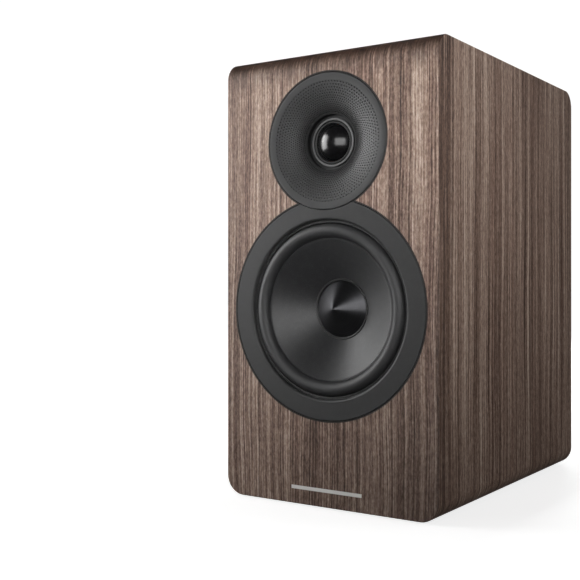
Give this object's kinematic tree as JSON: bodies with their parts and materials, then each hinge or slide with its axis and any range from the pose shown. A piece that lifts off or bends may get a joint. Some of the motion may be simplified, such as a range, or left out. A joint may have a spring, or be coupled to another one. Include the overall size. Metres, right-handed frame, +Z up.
{
  "type": "bookshelf speaker",
  "caption": "Two-way bookshelf speaker in a walnut cabinet with a cone woofer, a dome tweeter in a waveguide, a rear slot port and binding posts.",
  "frame": {"origin": "under the middle of the whole object, on the surface it stands on", "axes": "+Z up, -Y out of the front face, +X to the right seen from the front"},
  "size_m": [0.162, 0.2698, 0.301],
  "materials": {
    "walnut": "satin walnut veneer",
    "mdf": "raw fibreboard",
    "strip_metal": "satin",
    "magnet_metal": "nickel plated",
    "foot_rubber": "matte",
    "wadding": "soft fibre",
    "port_plastic": "fine texture",
    "ring_plastic": "satin soft-touch",
    "foam": "closed-cell foam",
    "basket_paint": "black powder coat",
    "black_screw": "black zinc",
    "roll_rubber": "satin rubber",
    "cone_fibre": "matte coated fibre",
    "cap_metal": "black anodised, spun",
    "former_film": "polyimide film",
    "copper": "enamelled wire",
    "spider_cloth": "phenolic cloth",
    "plated_steel": "zinc plated",
    "ferrite": "fired ceramic",
    "brown_board": "phenolic board",
    "guide_plastic": "satin, dimpled",
    "clamp_metal": "satin",
    "dome_gloss": "coated, glossy",
    "board_green": "solder mask",
    "white_nylon": "moulded",
    "capacitor_film": "film wrap",
    "cement": "ceramic",
    "wire_red": "insulation",
    "terminal_plastic": "fine texture",
    "gold_plate": "gold plated",
    "knob_red": "gloss",
    "knob_black": "gloss"
  },
  "bodies": {
    "cabinet": {"front_baffle": "mdf", "top_panel": "mdf", "bottom_panel": "mdf", "left_side_panel": "mdf", "right_side_panel": "mdf", "rear_panel": "mdf", "walnut_veneer": "walnut", "front_strip": "strip_metal", "grille_magnets": "magnet_metal", "rubber_feet": "foot_rubber", "acoustic_wadding": "wadding", "port_duct": "port_plastic", "woofer_trim_ring": "ring_plastic", "woofer_gasket": "foam", "woofer_basket": "basket_paint", "woofer_screws": "black_screw", "woofer_surround": "roll_rubber", "woofer_spider": "spider_cloth", "woofer_top_plate": "plated_steel", "woofer_magnet": "ferrite", "woofer_yoke": "plated_steel", "woofer_terminals": "brown_board", "woofer_lead_outs": "copper", "tweeter_waveguide": "guide_plastic", "tweeter_mount_plate": "basket_paint", "tweeter_screws": "black_screw", "tweeter_clamp_ring": "clamp_metal", "tweeter_surround": "roll_rubber", "tweeter_top_plate": "plated_steel", "tweeter_magnet": "ferrite", "tweeter_yoke": "plated_steel", "tweeter_rear_chamber": "port_plastic", "tweeter_terminals": "brown_board", "crossover_board": "board_green", "crossover_standoffs": "white_nylon", "crossover_screws": "plated_steel", "bass_inductor": "copper", "treble_inductor": "copper", "crossover_capacitors": "capacitor_film", "crossover_resistor": "cement", "woofer_wires": "wire_red", "tweeter_wires": "wire_red", "input_wires": "wire_red", "terminal_plate": "terminal_plastic", "terminal_gasket": "foam", "terminal_screws": "black_screw", "terminal_posts": "gold_plate", "terminal_nuts": "gold_plate"},
    "woofer_diaphragm": {"woofer_cone": "cone_fibre", "woofer_cap_ring": "roll_rubber", "woofer_dust_cap": "cap_metal", "woofer_coil_former": "former_film", "woofer_voice_coil": "copper"},
    "tweeter_diaphragm": {"tweeter_dome": "dome_gloss", "tweeter_voice_coil": "copper"},
    "red_clamp": {"red_washer": "gold_plate"},
    "red_grip": {"red_knob": "knob_red"},
    "black_clamp": {"black_washer": "gold_plate"},
    "black_grip": {"black_knob": "knob_black"}
  },
  "joints": [
    {"name": "woofer_excursion", "type": "slide", "parent": "cabinet", "child": "woofer_diaphragm", "axis": [0, 1, 0], "range_m": [-0.005, 0.005], "stiffness_N_per_m": 1000, "deforming": ["woofer_surround", "woofer_spider", "woofer_lead_outs"]},
    {"name": "tweeter_excursion", "type": "slide", "parent": "cabinet", "child": "tweeter_diaphragm", "axis": [0, 1, 0], "range_m": [-0.0003, 0.0003], "stiffness_N_per_m": 100, "deforming": ["tweeter_surround"]},
    {"name": "red_clamp_travel", "type": "slide", "parent": "cabinet", "child": "red_clamp", "axis": [0, 1, 0], "range_m": [0, 0.005]},
    {"name": "red_knob_turn", "type": "hinge", "parent": "red_clamp", "child": "red_grip", "pos_m": [0.018, 0.1289, 0.077], "axis": [0, 1, 0], "range_deg": [0, 1800]},
    {"name": "black_clamp_travel", "type": "slide", "parent": "cabinet", "child": "black_clamp", "axis": [0, 1, 0], "range_m": [0, 0.005]},
    {"name": "black_knob_turn", "type": "hinge", "parent": "black_clamp", "child": "black_grip", "pos_m": [-0.018, 0.1289, 0.077], "axis": [0, 1, 0], "range_deg": [0, 1800]}
  ],
  "couplings": [
    {"joint": "red_clamp_travel", "follows": "red_knob_turn", "m_per_rad": 0.00015915},
    {"joint": "black_clamp_travel", "follows": "black_knob_turn", "m_per_rad": 0.00015915}
  ]
}
